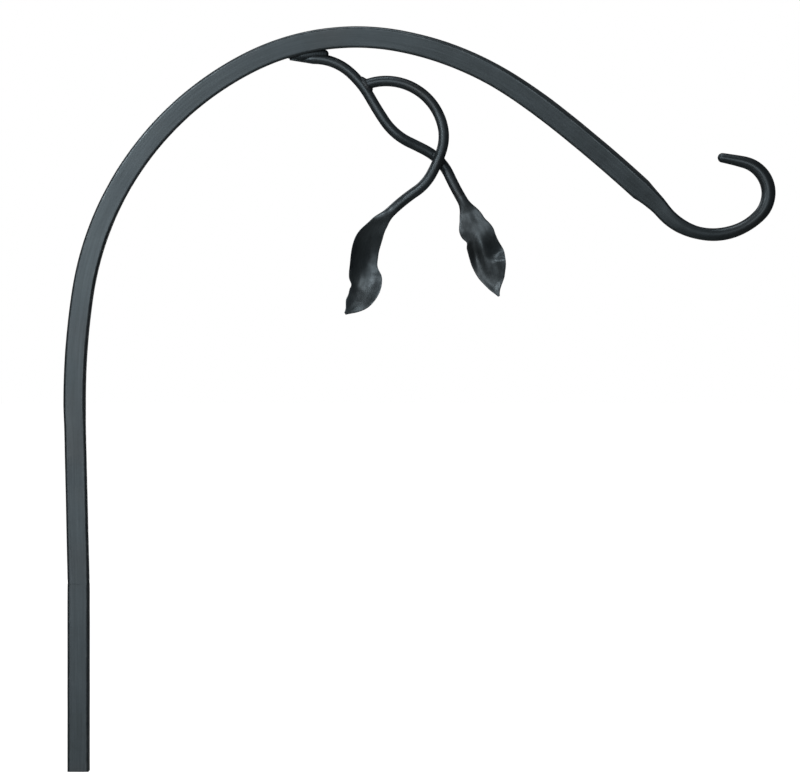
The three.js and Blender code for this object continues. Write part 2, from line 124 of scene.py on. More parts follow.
@dataclass(frozen=True)
class Wiring:
    """Short forms for the nodes that a tree has many of; each gives the new node's output."""

    tree: bpy.types.NodeTree

    def out(self, kind: str, settings: Mapping[str, object] | None = None,
            inputs: Mapping[str | int, NodeInput] | None = None) -> bpy.types.NodeSocket:
        """Add any node and give its first output that its settings leave in use."""
        node = add_node(self.tree, kind, settings, inputs)
        return next(socket for socket in node.outputs if socket.enabled)

    def math(self, operation: str, *values: NodeInput) -> bpy.types.NodeSocket:
        """Add a sum of plain numbers."""
        return self.out("ShaderNodeMath", {"operation": operation}, dict(enumerate(values)))

    def vector(self, operation: str, *values: NodeInput) -> bpy.types.NodeSocket:
        """Add a sum of vectors."""
        return self.out("ShaderNodeVectorMath", {"operation": operation}, dict(enumerate(values)))

    def scaled(self, vector: NodeInput, scale: NodeInput) -> bpy.types.NodeSocket:
        """Scale a vector."""
        return self.out("ShaderNodeVectorMath", {"operation": "SCALE"}, {0: vector, "Scale": scale})

    def mix(self, kind: str, share: NodeInput, first: NodeInput, second: NodeInput) -> bpy.types.NodeSocket:
        """Mix two values of a kind: Float, Vector or Color."""
        data_type = {"Float": "FLOAT", "Vector": "VECTOR", "Color": "RGBA"}[kind]
        return self.out("ShaderNodeMix", {"data_type": data_type}, {
            "Factor_Float": share, f"A_{kind}": first, f"B_{kind}": second})

    def remap(self, value: NodeInput, low: float, high: float, to_low: float = 0.0,
              to_high: float = 1.0, kind: str = "LINEAR") -> bpy.types.NodeSocket:
        """Map a range of values to another, held at its ends."""
        return self.out("ShaderNodeMapRange", {"interpolation_type": kind}, {
            "Value": value, "From Min": low, "From Max": high, "To Min": to_low, "To Max": to_high})

    def noise(self, where: NodeInput, size_mm: float, detail: float = 2.0,
              roughness: float = 0.5) -> bpy.types.NodeSocket:
        """Add noise whose patches are about this many millimetres wide."""
        return self.out("ShaderNodeTexNoise", {}, {
            "Vector": where, "Scale": 1 / (size_mm * MM), "Detail": detail, "Roughness": roughness})

    def attribute(self, name: str, kind: str = "FLOAT") -> bpy.types.NodeSocket:
        """Read a named attribute of a geometry."""
        return self.out("GeometryNodeInputNamedAttribute", {"data_type": kind}, {"Name": name})


def blank_material(name: str) -> tuple[bpy.types.Material, Wiring]:
    """Make a material without nodes, and the wiring of its tree."""
    material = bpy.data.materials.new(name)
    material.use_nodes = True
    material.node_tree.nodes.clear()
    return material, Wiring(material.node_tree)


def smoothstep(value: float) -> float:
    """Ease a share from 0 to 1, with both ends level."""
    share = min(max(value, 0.0), 1.0)
    return share * share * (3 - 2 * share)


def smooth_list(knots: Sequence[float], fraction: float) -> float:
    """Value of evenly spaced knots that are joined by a smooth curve.

    Args:
        knots: the values, evenly spaced from 0 to 1.
        fraction: the place from 0 to 1.

    Returns:
        The value at that place.
    """
    place = min(max(fraction, 0.0), 1.0) * (len(knots) - 1)
    index = min(int(place), len(knots) - 2)
    before, start, end, after = (knots[min(max(index + i, 0), len(knots) - 1)] for i in (-1, 0, 1, 2))
    t = place - index
    slope_in = (end - before) / 2
    slope_out = (after - start) / 2
    rise = end - start
    return (start + t * slope_in + t * t * (3 * rise - 2 * slope_in - slope_out)
            + t ** 3 * (slope_in + slope_out - 2 * rise))


# ---- Centre lines ----


@dataclass(frozen=True)
class Stretch:
    """A straight or an arc of a centre line, by its length and its turn."""

    length: float
    turn: float = 0.0

    @classmethod
    def arc(cls, radius: float, turn: float) -> "Stretch":
        """Make an arc from its radius and its turn."""
        return cls(abs(math.radians(turn)) * radius, turn)


@dataclass(frozen=True)
class Frame:
    """A place on a centre line, with the direction of travel and the sides to its left and front."""

    origin: np.ndarray
    along: np.ndarray
    left: np.ndarray
    front: np.ndarray

    def offset(self, along: float = 0.0, left: float = 0.0, front: float = 0.0) -> np.ndarray:
        """Give the point that lies this far from the place, in the three directions."""
        return self.origin + along * self.along + left * self.left + front * self.front


@dataclass
class CentreLine:
    """Arcs and straights in the XZ plane that run smoothly into one another, with a depth out of it."""

    x: float
    z: float
    heading: float
    stretches: Sequence[Stretch]
    depth: Callable[[float], float] = lambda distance: 0.0

    @property
    def length(self) -> float:
        """Whole length of the line."""
        return sum(stretch.length for stretch in self.stretches)

    def planar(self, distance: float) -> tuple[float, float, float]:
        """Find the place and heading in the XZ plane.

        Args:
            distance: how far along the line; before the start and past the end its arcs run on.

        Returns:
            The x, the z and the heading.
        """
        x, z, heading, rest = self.x, self.z, self.heading, distance
        for index, stretch in enumerate(self.stretches):
            last = index == len(self.stretches) - 1
            run = rest if last else min(rest, stretch.length)
            turn = stretch.turn * run / stretch.length
            middle, half = math.radians(heading + turn / 2), math.radians(turn / 2)
            chord = run if abs(half) < TINY else run * math.sin(half) / half
            x += chord * math.cos(middle)
            z += chord * math.sin(middle)
            heading += turn
            rest -= run
            if rest <= TINY:
                break
        return x, z, heading

    def point(self, distance: float) -> np.ndarray:
        """Give the point at a distance along the line."""
        x, z, _ = self.planar(distance)
        return np.array([x, self.depth(distance), z])

    def frame(self, distance: float) -> Frame:
        """Give the frame at a distance along the line."""
        reach = 0.05
        along = self.point(distance + reach) - self.point(distance - reach)
        along /= np.linalg.norm(along)
        left = np.cross(along, AXIS_Y)
        left /= np.linalg.norm(left)
        return Frame(self.point(distance), along, left, np.cross(along, left))


# ---- Finishes ----


@dataclass(frozen=True)
class SatinForgePaint:
    """Satin slate paint over hand-forged steel.

    The paint is thin, so hammer marks and scale pits show through it, and it is rubbed lighter on the edges.
    The eye sees a soft sheen that drifts from blue-grey to warm grey, fine peel and streaks along the bar.
    """

    name: str
    deep: str = "#444c50"
    light: str = "#50595e"
    warm: str = "#4f5051"
    rubbed: str = "#6b7377"
    roughness: float = 0.43
    metallic: float = 0.85
    mottle_mm: float = 22.0
    peel_mm: float = 1.3
    peel_depth_mm: float = 0.012
    pit_mm: float = 3.2
    pit_depth_mm: float = 0.02
    streak_mm: float = 1.1
    streak_length_mm: float = 34.0
    streak_depth_mm: float = 0.02
    drift_width: float = 2.5
    rub: float = 0.55
    rub_mm: float = 6.0
    rub_shine: float = 0.14

    def build(self) -> bpy.types.Material:
        """Build the material.

        Returns:
            A material that reads Object coordinates and the attributes bar_space and worn.
        """
        material, wire = blank_material(self.name)
        place = add_node(wire.tree, "ShaderNodeTexCoord").outputs["Object"]
        space = add_node(wire.tree, "ShaderNodeAttribute", {"attribute_name": "bar_space"})
        worn = add_node(wire.tree, "ShaderNodeAttribute", {"attribute_name": "worn"}).outputs["Fac"]
        mottle = wire.noise(place, self.mottle_mm, 4.0, 0.6)
        drift = wire.noise(place, self.mottle_mm * self.drift_width)
        peel = wire.noise(place, self.peel_mm)

        # Drawn-out lines run along the bar: noise squeezed across it and stretched along it.
        along, across = 1 / (self.streak_length_mm * MM), 1 / (self.streak_mm * MM)
        squeeze = wire.out("ShaderNodeMapping", {}, {
            "Vector": space.outputs["Vector"], "Scale": (along, across, across)})
        streak = wire.out("ShaderNodeTexNoise", {}, {
            "Vector": squeeze, "Scale": 1.0, "Detail": 3.0, "Roughness": 0.55})

        pits = wire.out("ShaderNodeTexVoronoi", {"feature": "SMOOTH_F1"}, {
            "Vector": place, "Scale": 1 / (self.pit_mm * MM), "Smoothness": 0.6, "Randomness": 1.0})
        pit_rim = wire.remap(pits, 0.0, 0.6, kind="SMOOTHSTEP")
        sparse = wire.remap(mottle, 0.56, 0.68)

        base = wire.mix("Color", wire.remap(mottle, 0.35, 0.65), linear(self.deep), linear(self.light))
        warmed = wire.mix("Color", wire.remap(drift, 0.5, 0.75, 0.0, 0.6), base, linear(self.warm))
        toned = wire.scaled(warmed, wire.remap(streak, 0.3, 0.7, 0.88, 1.12))

        # Rubbing shows where an edge stands proud and the noise lets it through.
        chance = wire.noise(place, self.rub_mm, 5.0, 0.65)
        rub_mask = wire.remap(chance, 0.42, 0.68, 0.0, self.rub)
        rubbed = wire.out("ShaderNodeMath", {"operation": "MULTIPLY", "use_clamp": True}, {
            0: rub_mask, 1: worn})
        colour = wire.mix("Color", rubbed, toned, linear(self.rubbed))

        rough_drift = wire.remap(mottle, 0.3, 0.7, self.roughness - 0.05, self.roughness + 0.07)
        rough = wire.math("MULTIPLY_ADD", rubbed, -self.rub_shine, rough_drift)

        pit_height = wire.math("MULTIPLY", pit_rim, wire.math("MULTIPLY", sparse, self.pit_depth_mm * MM))
        peeled = wire.math("MULTIPLY_ADD", peel, self.peel_depth_mm * MM, pit_height)
        height = wire.math("MULTIPLY_ADD", streak, self.streak_depth_mm * MM, peeled)
        bump = wire.out("ShaderNodeBump", {}, {"Height": height, "Distance": 1.0, "Strength": 1.0})
        shader = wire.out("ShaderNodeBsdfPrincipled", {}, {
            "Base Color": colour, "Roughness": rough, "Metallic": self.metallic, "Normal": bump})
        add_node(wire.tree, "ShaderNodeOutputMaterial", {}, {"Surface": shader})
        return material


@dataclass(frozen=True)
class TurnedSteel:
    """Bare turned steel of the joint pin: bright, with fine rings from the lathe and a few rubbed marks."""

    name: str = "turned_steel"
    bright: str = "#a7a8a6"
    dull: str = "#77787a"
    roughness: float = 0.27
    smear_mm: float = 5.0
    ring_mm: float = 0.35
    ring_depth_mm: float = 0.01

    def build(self) -> bpy.types.Material:
        """Build the material.

        Returns:
            A material that reads Object coordinates.
        """
        material, wire = blank_material(self.name)
        place = add_node(wire.tree, "ShaderNodeTexCoord").outputs["Object"]
        rings = add_node(wire.tree, "ShaderNodeTexWave", {"wave_type": "BANDS", "bands_direction": "Z"}, {
            "Vector": place, "Scale": 0.05 / (self.ring_mm * MM), "Distortion": 0.6, "Detail": 2.0})
        smear = wire.noise(place, self.smear_mm, 5.0, 0.6)
        colour = wire.mix("Color", wire.remap(smear, 0.4, 0.7), linear(self.bright), linear(self.dull))
        rough = wire.remap(smear, 0.3, 0.7, self.roughness - 0.05, self.roughness + 0.12)
        bump = wire.out("ShaderNodeBump", {}, {
            "Height": rings.outputs["Fac"], "Distance": self.ring_depth_mm * MM, "Strength": 1.0})
        shader = wire.out("ShaderNodeBsdfPrincipled", {}, {
            "Base Color": colour, "Roughness": rough, "Metallic": 1.0, "Normal": bump})
        add_node(wire.tree, "ShaderNodeOutputMaterial", {}, {"Surface": shader})
        return material


# ---- Node trees that make meshes ----


def new_tree(name: str, inputs: Mapping[str, str]) -> tuple[Wiring, bpy.types.Node]:
    """Start a tree of Geometry Nodes with named inputs.

    Args:
        name: the tree's name.
        inputs: the socket type of each input by its name.

    Returns:
        The tree's wiring and its input node.
    """
    tree = bpy.data.node_groups.new(name, "GeometryNodeTree")
    tree.interface.new_socket("Geometry", in_out="OUTPUT", socket_type="NodeSocketGeometry")
    for label, kind in inputs.items():
        tree.interface.new_socket(label, in_out="INPUT", socket_type=f"NodeSocket{kind}")
    return Wiring(tree), add_node(tree, "NodeGroupInput")


def close_tree(wire: Wiring, source: bpy.types.Node, mesh: bpy.types.NodeSocket) -> bpy.types.NodeTree:
    """End a tree with Realize Instances and Set Material.

    Args:
        wire: the tree's wiring.
        source: its input node, which has a Material input.
        mesh: the geometry to finish.

    Returns:
        The finished tree.
    """
    smooth = wire.out("GeometryNodeSetShadeSmooth", {}, {"Geometry": mesh})
    real = wire.out("GeometryNodeRealizeInstances", {}, {"Geometry": smooth})
    dressed = wire.out("GeometryNodeSetMaterial", {}, {
        "Geometry": real, "Material": source.outputs["Material"]})
    add_node(wire.tree, "NodeGroupOutput", {}, {"Geometry": dressed})
    return wire.tree


def rounded_sweep(wire: Wiring, source: bpy.types.Node) -> bpy.types.NodeSocket:
    """Sweep a rounded square along the line, turned to its face and scaled by its size.

    Args:
        wire: the tree's wiring.
        source: its input node.

    Returns:
        The swept mesh. The fillet leaves several points at each cut in a flat side, so they are merged.
    """
    side = source.outputs["Side"]
    curve = wire.out("GeometryNodeMeshToCurve", {}, {"Mesh": source.outputs["Line"]})
    aimed = wire.out("GeometryNodeSetCurveNormal", {"mode": "FREE"}, {
        "Curve": curve, "Normal": wire.attribute("face", "FLOAT_VECTOR")})
    square = wire.out("GeometryNodeCurvePrimitiveQuadrilateral", {"mode": "RECTANGLE"}, {
        "Width": side, "Height": side})
    split = wire.out("GeometryNodeSubdivideCurve", {}, {"Curve": square, "Cuts": 6})
    rounded = wire.out("GeometryNodeFilletCurve", {"mode": "POLY"}, {
        "Curve": split, "Count": 5, "Radius": source.outputs["Edge radius"]})
    swept = wire.out("GeometryNodeCurveToMesh", {}, {
        "Curve": aimed, "Profile Curve": rounded, "Scale": wire.attribute("size"), "Fill Caps": True})
    return wire.out("GeometryNodeMergeByDistance", {}, {"Geometry": swept, "Distance": MERGE_REACH})


def drawn_outline(wire: Wiring, source: bpy.types.Node, spoke: bpy.types.NodeSocket) -> bpy.types.NodeSocket:
    """Reshape the section's outline to what it is where the bar is drawn out.

    The drawn-out section keeps its own depth, so that its front stays flush with the bar's for a while.

    Args:
        wire: the tree's wiring.
        source: its input node.
        spoke: from the middle of the section to a point of its outline.

    Returns:
        From the middle of the section to the reshaped point.
    """
    half = wire.math("MULTIPLY", source.outputs["Side"], 0.5)
    shrink = wire.math("DIVIDE", 1.0, wire.math("MULTIPLY", half, wire.attribute("size")))
    outline = wire.mix("Vector", wire.attribute("softness"), wire.scaled(spoke, shrink),
                       wire.vector("NORMALIZE", spoke))
    front, girth = wire.attribute("front", "FLOAT_VECTOR"), wire.attribute("girth")
    spare = wire.math("SUBTRACT", wire.attribute("half_depth"), girth)
    filled = wire.math("MULTIPLY", wire.vector("DOT_PRODUCT", outline, front), spare)
    return wire.vector("ADD", wire.scaled(outline, girth), wire.scaled(front, filled))


def hammer(wire: Wiring, source: bpy.types.Node, mesh: bpy.types.NodeSocket,
           here: bpy.types.NodeSocket) -> bpy.types.NodeSocket:
    """Beat soft hollows into a mesh, which fade out at machined ends.

    Args:
        wire: the tree's wiring.
        source: its input node.
        mesh: the mesh.
        here: the place of each of its points.

    Returns:
        The beaten mesh.
    """
    spacing = wire.math("DIVIDE", 1.0, source.outputs["Hammer spacing"])
    marks = wire.out("ShaderNodeTexNoise", {"noise_dimensions": "4D"}, {
        "Vector": here, "W": source.outputs["Seed"], "Scale": spacing, "Detail": 1.5})
    deep = wire.math("MULTIPLY", wire.math("SUBTRACT", marks, 0.5), source.outputs["Hammer depth"])
    held = wire.math("MULTIPLY", deep, wire.attribute("steady"))
    outward = wire.scaled(wire.out("GeometryNodeInputNormal"), held)
    return wire.out("GeometryNodeSetPosition", {}, {"Geometry": mesh, "Offset": outward})


def forged_sweep() -> bpy.types.NodeTree:
    """Build the tree that sweeps a rounded square along a line and forges it round where the line says so.

    Returns:
        A tree that reads these attributes of the line's points: centre, left, front, face, along, size,
        girth, half_depth, round_above, round_below, softness and steady.
    """
    wire, source = new_tree("forged_sweep", {
        "Line": "Geometry", "Side": "Float", "Edge radius": "Float", "Hammer depth": "Float",
        "Hammer spacing": "Float", "Seed": "Float", "Material": "Material"})
    swept = rounded_sweep(wire, source)
    centre = wire.attribute("centre", "FLOAT_VECTOR")
    here = wire.out("GeometryNodeInputPosition")
    spoke = wire.vector("SUBTRACT", here, centre)
    up = wire.vector("DOT_PRODUCT", spoke, wire.attribute("left", "FLOAT_VECTOR"))
    across = wire.vector("DOT_PRODUCT", spoke, wire.attribute("front", "FLOAT_VECTOR"))
    roundness = wire.mix("Float", wire.math("GREATER_THAN", up, 0.0), wire.attribute("round_below"),
                         wire.attribute("round_above"))
    forged = wire.mix("Vector", roundness, spoke, drawn_outline(wire, source, spoke))

    # Corners stand further from the middle than flats do, which marks where paint is rubbed.
    ratio = wire.math("DIVIDE", wire.vector("LENGTH", spoke), source.outputs["Side"])
    squareness = wire.math("SUBTRACT", 1.0, roundness)
    worn = wire.math("MULTIPLY", wire.remap(ratio, 0.61, 0.655), squareness)
    bar_space = wire.out("ShaderNodeCombineXYZ", {}, {0: wire.attribute("along"), 1: up, 2: across})
    marked = wire.out("GeometryNodeStoreNamedAttribute", {"data_type": "FLOAT", "domain": "POINT"}, {
        "Geometry": swept, "Name": "worn", "Value": worn})
    mapped = wire.out("GeometryNodeStoreNamedAttribute", {"data_type": "FLOAT_VECTOR", "domain": "POINT"}, {
        "Geometry": marked, "Name": "bar_space", "Value": bar_space})
    shaped = wire.out("GeometryNodeSetPosition", {}, {
        "Geometry": mapped, "Position": wire.vector("ADD", centre, forged)})
    return close_tree(wire, source, hammer(wire, source, shaped, here))


def ripple_bead() -> bpy.types.NodeTree:
    """Build the tree that lays overlapping puddles of weld metal along a line.

    Returns:
        A tree that reads the attributes turn, a rotation, and puddle, the three radii of a puddle.
    """
    wire, source = new_tree("ripple_bead", {"Line": "Geometry", "Segments": "Int", "Material": "Material"})
    drop = wire.out("GeometryNodeMeshUVSphere", {}, {
        "Segments": source.outputs["Segments"], "Rings": 16, "Radius": 1.0})
    turned = wire.out("FunctionNodeEulerToRotation", {}, {0: wire.attribute("turn", "FLOAT_VECTOR")})
    puddles = wire.out("GeometryNodeInstanceOnPoints", {}, {
        "Points": source.outputs["Line"], "Instance": drop, "Rotation": turned,
        "Scale": wire.attribute("puddle", "FLOAT_VECTOR")})
    return close_tree(wire, source, puddles)


# ---- Making meshes ----


def line_object(name: str, points: Sequence[np.ndarray],
                floats: Mapping[str, Sequence[float]] | None = None,
                vectors: Mapping[str, Sequence[np.ndarray]] | None = None) -> bpy.types.Object:
    """Make an object of one open line, with attributes on its points.

    Args:
        name: the object's name.
        points: the line's points, in millimetres.
        floats: a number for each point, by attribute.
        vectors: three numbers for each point, by attribute.

    Returns:
        The object, in metres.
    """
    mesh = bpy.data.meshes.new(name)
    places = np.asarray(points) * MM
    mesh.from_pydata(places.tolist(), [(i, i + 1) for i in range(len(places) - 1)], [])
    for label, values in (floats or {}).items():
        attribute = mesh.attributes.new(label, "FLOAT", "POINT")
        attribute.data.foreach_set("value", np.asarray(values, dtype=np.float32))
    for label, values in (vectors or {}).items():
        attribute = mesh.attributes.new(label, "FLOAT_VECTOR", "POINT")
        attribute.data.foreach_set("vector", np.asarray(values, dtype=np.float32).ravel())
    item = bpy.data.objects.new(name, mesh)
    bpy.context.scene.collection.objects.link(item)
    return item


def grow(item: bpy.types.Object, tree: bpy.types.NodeTree, values: Mapping[str, object]) -> None:
    """Replace an object's mesh with what a tree makes of it.

    Args:
        item: the object, whose line is the tree's input.
        tree: the tree of Geometry Nodes.
        values: the tree's inputs by name.
    """
    modifier = item.modifiers.new("grow", "NODES")
    modifier.node_group = tree
    for socket in tree.interface.items_tree:
        if socket.item_type == "SOCKET" and socket.in_out == "INPUT" and socket.name in values:
            modifier[socket.identifier] = values[socket.name]
    bake_modifiers(item)


def bake_modifiers(item: bpy.types.Object) -> None:
    """Turn an object's live modifiers into its plain mesh."""
    bpy.context.view_layer.update()
    evaluated = item.evaluated_get(bpy.context.evaluated_depsgraph_get())
    mesh = bpy.data.meshes.new_from_object(evaluated, preserve_all_data_layers=True,
                                           depsgraph=bpy.context.evaluated_depsgraph_get())
    item.modifiers.clear()
    old = item.data
    item.data = mesh
    mesh.name = item.name
    bpy.data.meshes.remove(old)


def skin(name: str, rings: Sequence[np.ndarray], attributes: Mapping[str, Sequence[Sequence[float]]],
         material: bpy.types.Material) -> bpy.types.Object:
    """Close a skin over a row of rings.

    Args:
        name: the object's name.
        rings: rings of as many points each, in millimetres, from the first end to the last.
        attributes: a number for each point of each ring, by attribute.
        material: the finish.

    Returns:
        The object, in metres.
    """
    count = len(rings[0])
    points = np.concatenate(rings) * MM
    faces = []
    for row in range(len(rings) - 1):
        for j in range(count):
            a, b = row * count + j, row * count + (j + 1) % count
            faces.append((a, b, b + count, a + count))
    last = (len(rings) - 1) * count
    faces.append(tuple(reversed(range(count))))
    faces.append(tuple(range(last, last + count)))
    mesh = bpy.data.meshes.new(name)
    mesh.from_pydata(points.tolist(), [], faces)
    for label, values in attributes.items():
        flat = np.asarray(values, dtype=np.float32)
        kind = "FLOAT_VECTOR" if flat.shape[-1] == 3 and flat.ndim == 3 else "FLOAT"
        attribute = mesh.attributes.new(label, kind, "POINT")
        attribute.data.foreach_set("vector" if kind == "FLOAT_VECTOR" else "value", flat.ravel())
    mesh.materials.append(material)
    item = bpy.data.objects.new(name, mesh)
    bpy.context.scene.collection.objects.link(item)
    face_outwards(item)
    return item


def face_outwards(item: bpy.types.Object) -> None:
    """Point the normals of a closed mesh outwards, and shade it smooth between its sharp edges."""
    work = bmesh.new()
    work.from_mesh(item.data)
    bmesh.ops.remove_doubles(work, verts=work.verts, dist=1e-7)
    bmesh.ops.recalc_face_normals(work, faces=work.faces)
    for face in work.faces:
        face.smooth = True
    work.to_mesh(item.data)
    work.free()
    item.data.set_sharp_from_angle(angle=math.radians(SHARP_FROM))


def hand_over(item: bpy.types.Object, body: Body, node: str) -> None:
    """Let a finished piece stand for its node of the frame, and log it with its number of triangles.

    Args:
        item: the piece.
        body: the body that it rides on.
        node: the node that it replaces.
    """
    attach(item, body.value)
    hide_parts(node)
    item.data.calc_loop_triangles()
    LOG.info("%s rides on %s: %d triangles", item.name, body.value, len(item.data.loop_triangles))


# ---- Sizes that several pieces share ----


@dataclass(frozen=True)
class JointSizes:
    """Sizes of the pin joint between pole and crook, and of the square bar that it joins."""

    bar: float = 12.7
    bar_edge: float = 1.5
    pole_length: float = 112.2
    clearance: float = 0.3
    pin_diameter: float = 8.0
    pin_in_pole: float = 40.0
    pin_in_crook: float = 30.0
    pin_point: float = 1.2
    socket_spare: float = 2.0

    @property
    def height(self) -> float:
        """Height of the crook bar's underside."""
        return self.pole_length + self.clearance

    @property
    def bore(self) -> float:
        """Diameter of the bores that take the pin."""
        return self.pin_diameter + 2 * self.clearance


def sink_bore(item: bpy.types.Object, height: float, floor: float, radius: float,
              lip: float = 0.35) -> None:
    """Open a blind bore in the flat end of a bar.

    Args:
        item: the bar, whose end is one face at that height.
        height: height of the end, in millimetres.
        floor: height of the bore's floor, in millimetres.
        radius: radius of the bore, in millimetres.
        lip: bevel around its mouth, in millimetres.
    """
    work = bmesh.new()
    work.from_mesh(item.data)
    work.faces.ensure_lookup_table()
    end = max((f for f in work.faces if abs(f.calc_center_median().z - height * MM) < MERGE_REACH),
              key=lambda f: len(f.verts))
    outer = list(end.verts)
    middle = end.calc_center_median()
    rings = [outer]
    for level, reach in ((height, radius + lip), (height + math.copysign(lip, floor - height), radius),
                         (floor, radius)):
        ring = []
        for vert in outer:
            spoke = Vector((vert.co.x - middle.x, vert.co.y - middle.y, 0)).normalized()
            ring.append(work.verts.new(Vector((middle.x, middle.y, 0)) + spoke * reach * MM
                                       + Vector((0, 0, level * MM))))
        rings.append(ring)
    bmesh.ops.delete(work, geom=[end], context="FACES_ONLY")
    count = len(outer)
    for first, second in zip(rings, rings[1:]):
        for j in range(count):
            work.faces.new((first[j], first[(j + 1) % count], second[(j + 1) % count], second[j]))
    work.faces.new(rings[-1])
    work.to_mesh(item.data)
    work.free()
    face_outwards(item)


@dataclass(frozen=True)
class Station:
    """One place of a sweep, with how its section is turned, scaled and drawn out.

    The twist, in degrees, turns its outer face to the front. It is drawn out above and below by a share from
    0 to 1, and its girth and depth there are half widths. Its softness runs from 0 for square to 1 for round,
    and steady is the share of the hammer marks that it gets.
    """

    place: Frame
    along: float
    twist: float = 0.0
    size: float = 1.0
    girth: float = 1.0
    half_depth: float = 1.0
    round_above: float = 0.0
    round_below: float = 0.0
    softness: float = 1.0
    steady: float = 1.0

    @classmethod
    def of_rod(cls, place: Frame, along: float, radius: float, steady: float) -> "Station":
        """Make a station of a round rod."""
        return cls(place, along, girth=radius, half_depth=radius, round_above=1.0, round_below=1.0,
                   steady=steady)

    @property
    def face(self) -> np.ndarray:
        """Direction of the outer face."""
        angle = math.radians(self.twist)
        return math.cos(angle) * self.place.left + math.sin(angle) * self.place.front


@dataclass
class SweptBar:
    """A bar or rod that is swept along a row of stations."""

    name: str
    material: bpy.types.Material
    side: float
    edge: float
    hammer_depth: float = 0.16
    hammer_spacing: float = 16.0
    seed: float = 0.0
    stations: list[Station] = field(default_factory=list)

    def build(self, tree: bpy.types.NodeTree) -> bpy.types.Object:
        """Sweep the section along the stations.

        Args:
            tree: the sweep's tree.

        Returns:
            The swept piece.
        """
        floats = {name: [getattr(station, name) * MM for station in self.stations]
                  for name in ("along", "girth", "half_depth")}
        floats |= {name: [getattr(station, name) for station in self.stations]
                   for name in ("size", "round_above", "round_below", "softness", "steady")}
        origins = [station.place.origin for station in self.stations]
        item = line_object(self.name, origins, floats, {
            "centre": [origin * MM for origin in origins], "left": [s.place.left for s in self.stations],
            "front": [s.place.front for s in self.stations], "face": [s.face for s in self.stations]})
        grow(item, tree, {
            "Side": self.side * MM, "Edge radius": self.edge * MM, "Hammer depth": self.hammer_depth * MM,
            "Hammer spacing": self.hammer_spacing * MM, "Seed": self.seed, "Material": self.material})
        face_outwards(item)
        return item


# ---- The pieces ----


@dataclass
class Pole:
    """The upright square bar, sawn off at its foot and bored at its top for the pin."""

    sizes: JointSizes
    finish: bpy.types.Material
    sweep: bpy.types.NodeTree
    saw_chamfer: float = 0.08
    seam: float = 0.03
    step: float = 1.0

    def build(self) -> None:
        """Build the pole and hand it over."""
        top = self.sizes.height - self.seam
        up = np.array([0.0, 0.0, 1.0])
        bar = SweptBar("pole_shaft", self.finish, self.sizes.bar, self.sizes.bar_edge, seed=1.0)
        inner = np.linspace(self.saw_chamfer, top - self.saw_chamfer, int(top / self.step))
        shrunk = 1 - 2 * self.saw_chamfer / self.sizes.bar
        for height in [0.0, *inner, top]:
            place = Frame(up * height, up, np.array([-1.0, 0.0, 0.0]), np.array([0.0, -1.0, 0.0]))
            end = min(height, top - height)
            bar.stations.append(Station(
                place, height - self.sizes.height, size=shrunk if end < SAME_PLACE else 1.0,
                steady=smoothstep(end / HAMMER_FADE)))
        item = bar.build(self.sweep)
        sink_bore(item, top, self.sizes.pole_length - self.sizes.pin_in_pole - self.sizes.socket_spare,
                  self.sizes.bore / 2)
        hand_over(item, Body.POLE, "pole_bar")


@dataclass
class JointPin:
    """The turned pin that stands loose in the pole and holds the crook bar upright."""

    sizes: JointSizes
    finish: bpy.types.Material
    sides: int = 96
    rows: int = 40
    plain_from: float = 3.0

    def build(self) -> None:
        """Build the pin and hand it over."""
        sizes = self.sizes
        radius, point = sizes.pin_diameter / 2, sizes.pin_point
        bottom, top = sizes.height - sizes.pin_in_pole, sizes.height + sizes.pin_in_crook
        corner = ((0.0, -point), (0.2, 0.25 - point), (point, -0.04), (point + 0.15, 0.0))
        profile = [(bottom + rise, radius + inset) for rise, inset in corner]
        plain = np.linspace(bottom + self.plain_from, top - self.plain_from, self.rows)
        profile += [(height, radius) for height in plain]
        profile += [(top - rise, radius + inset) for rise, inset in reversed(corner)]
        angles = np.linspace(0, 2 * math.pi, self.sides, endpoint=False)
        rings = [np.column_stack([r * np.cos(angles), r * np.sin(angles), np.full(self.sides, z)])
                 for z, r in profile]
        item = skin("turned_pin", rings, {}, self.finish)
        hand_over(item, Body.PIN, "joint_pin")


